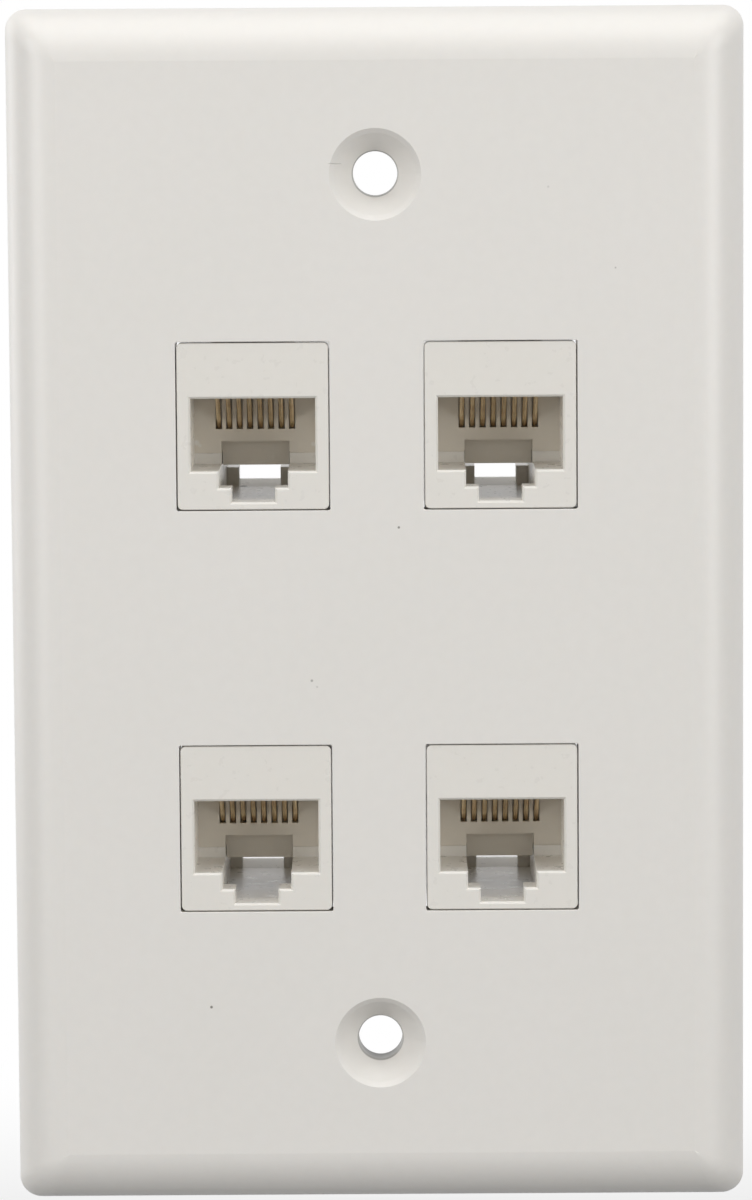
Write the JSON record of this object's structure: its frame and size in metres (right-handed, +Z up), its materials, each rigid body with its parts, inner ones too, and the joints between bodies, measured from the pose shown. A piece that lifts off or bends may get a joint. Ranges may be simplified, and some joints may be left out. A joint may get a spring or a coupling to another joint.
{
  "type": "keystone faceplate",
  "caption": "Rectangular wall plate with rounded front edges and countersunk screw holes, holding snap-in couplers that pass network cables from the room to the wall behind.",
  "frame": {"origin": "midway between the two screw holes, on the plane of the rim that meets the wall", "axes": "+X to the right seen from the front, +Y back into the wall, +Z up"},
  "size_m": [0.0704, 0.0295, 0.115],
  "materials": {
    "plate_plastic": "white moulded plastic with a soft sheen",
    "housing_plastic": "white moulded plastic, a little warmer than the plate",
    "carrier_plastic": "plain moulded plastic",
    "contact_gold": "gold plated spring wire",
    "board": "glass-fibre board with a green mask"
  },
  "bodies": {
    "root": {"faceplate": "plate_plastic", "upper_left_front_housing": "housing_plastic", "upper_left_rear_housing": "housing_plastic", "upper_left_front_carrier": "carrier_plastic", "upper_left_rear_carrier": "carrier_plastic", "upper_left_front_contacts": "contact_gold", "upper_left_rear_contacts": "contact_gold", "upper_left_circuit_board": "board", "upper_right_front_housing": "housing_plastic", "upper_right_rear_housing": "housing_plastic", "upper_right_front_carrier": "carrier_plastic", "upper_right_rear_carrier": "carrier_plastic", "upper_right_front_contacts": "contact_gold", "upper_right_rear_contacts": "contact_gold", "upper_right_circuit_board": "board", "lower_left_front_housing": "housing_plastic", "lower_left_rear_housing": "housing_plastic", "lower_left_front_carrier": "carrier_plastic", "lower_left_rear_carrier": "carrier_plastic", "lower_left_front_contacts": "contact_gold", "lower_left_rear_contacts": "contact_gold", "lower_left_circuit_board": "board", "lower_right_front_housing": "housing_plastic", "lower_right_rear_housing": "housing_plastic", "lower_right_front_carrier": "carrier_plastic", "lower_right_rear_carrier": "carrier_plastic", "lower_right_front_contacts": "contact_gold", "lower_right_rear_contacts": "contact_gold", "lower_right_circuit_board": "board"}
  },
  "joints": []
}
